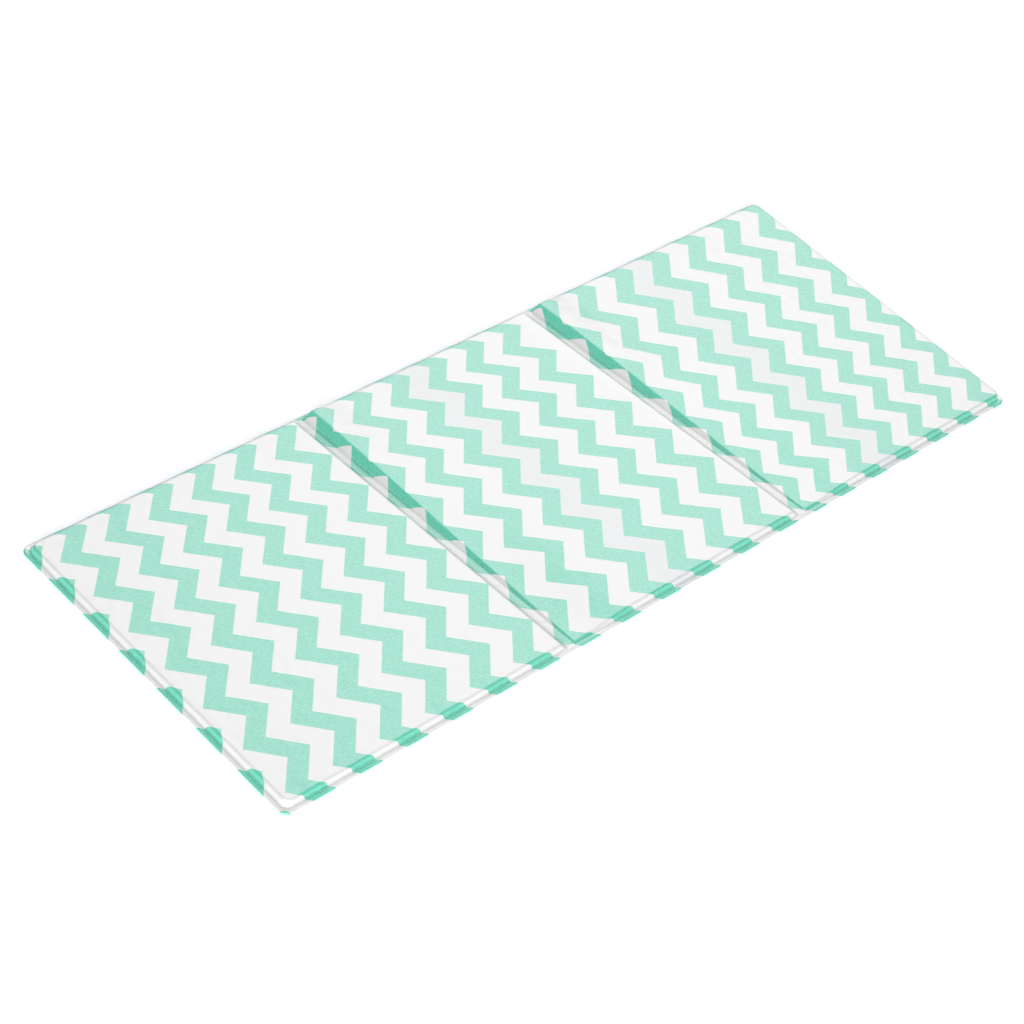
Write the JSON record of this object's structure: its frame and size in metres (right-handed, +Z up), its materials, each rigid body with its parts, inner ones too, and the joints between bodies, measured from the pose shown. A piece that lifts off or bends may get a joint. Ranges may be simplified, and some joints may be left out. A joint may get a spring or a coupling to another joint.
{
  "type": "folding padded mat",
  "caption": "Thin rectangular padded mat in panels joined by flat sewn folds, chevron printed cover with a flat sewn flange and plain backing; folds in a zigzag to a stack.",
  "frame": {"origin": "on the floor, under the middle of the mat laid out flat", "axes": "+X along the mat from the left panel to the right panel, +Y from the front edge to the back edge, +Z up out of the printed cover"},
  "size_m": [0.8, 0.3, 0.0078],
  "materials": {
    "printed_cloth": "fine plain weave polyester with a printed mint and white chevron, matt with a slight sheen",
    "white_cloth": "plain white woven polyester, matt",
    "foam": "open cell foam sheet, hidden inside the covers",
    "thread": "off-white polyester sewing thread"
  },
  "bodies": {
    "middle_panel": {"middle_panel_printed_cover": "printed_cloth", "middle_panel_foam_core": "foam", "middle_panel_backing": "white_cloth", "middle_panel_front_turned_edge": "printed_cloth", "middle_panel_front_edge_seam": "thread", "middle_panel_back_turned_edge": "printed_cloth", "middle_panel_back_edge_seam": "thread", "right_fold_inner_printed_cloth": "printed_cloth", "right_fold_inner_backing_cloth": "white_cloth", "right_fold_inner_seam": "thread"},
    "left_fold": {"left_fold_printed_cloth": "printed_cloth", "left_fold_backing_cloth": "white_cloth", "left_fold_outer_seam": "thread", "left_fold_inner_seam": "thread"},
    "left_panel": {"left_panel_printed_cover": "printed_cloth", "left_panel_foam_core": "foam", "left_panel_backing": "white_cloth", "left_panel_turned_edge": "printed_cloth", "left_panel_edge_seam": "thread"},
    "right_panel": {"right_panel_printed_cover": "printed_cloth", "right_panel_foam_core": "foam", "right_panel_backing": "white_cloth", "right_panel_turned_edge": "printed_cloth", "right_panel_edge_seam": "thread", "right_fold_outer_printed_cloth": "printed_cloth", "right_fold_outer_backing_cloth": "white_cloth", "right_fold_outer_seam": "thread"}
  },
  "joints": [
    {"name": "left_fold_inner_crease", "type": "hinge", "parent": "middle_panel", "child": "left_fold", "pos_m": [-0.1185, 0, 0.00095], "axis": [0, 1, 0], "range_deg": [0, 90]},
    {"name": "left_fold_outer_crease", "type": "hinge", "parent": "left_fold", "child": "left_panel", "pos_m": [-0.1335, 0, 0.00095], "axis": [0, 1, 0], "range_deg": [0, 90]},
    {"name": "right_fold_bend", "type": "hinge", "parent": "middle_panel", "child": "right_panel", "pos_m": [0.129, 0, -0.00015], "axis": [0, 1, 0], "range_deg": [0, 180]}
  ]
}
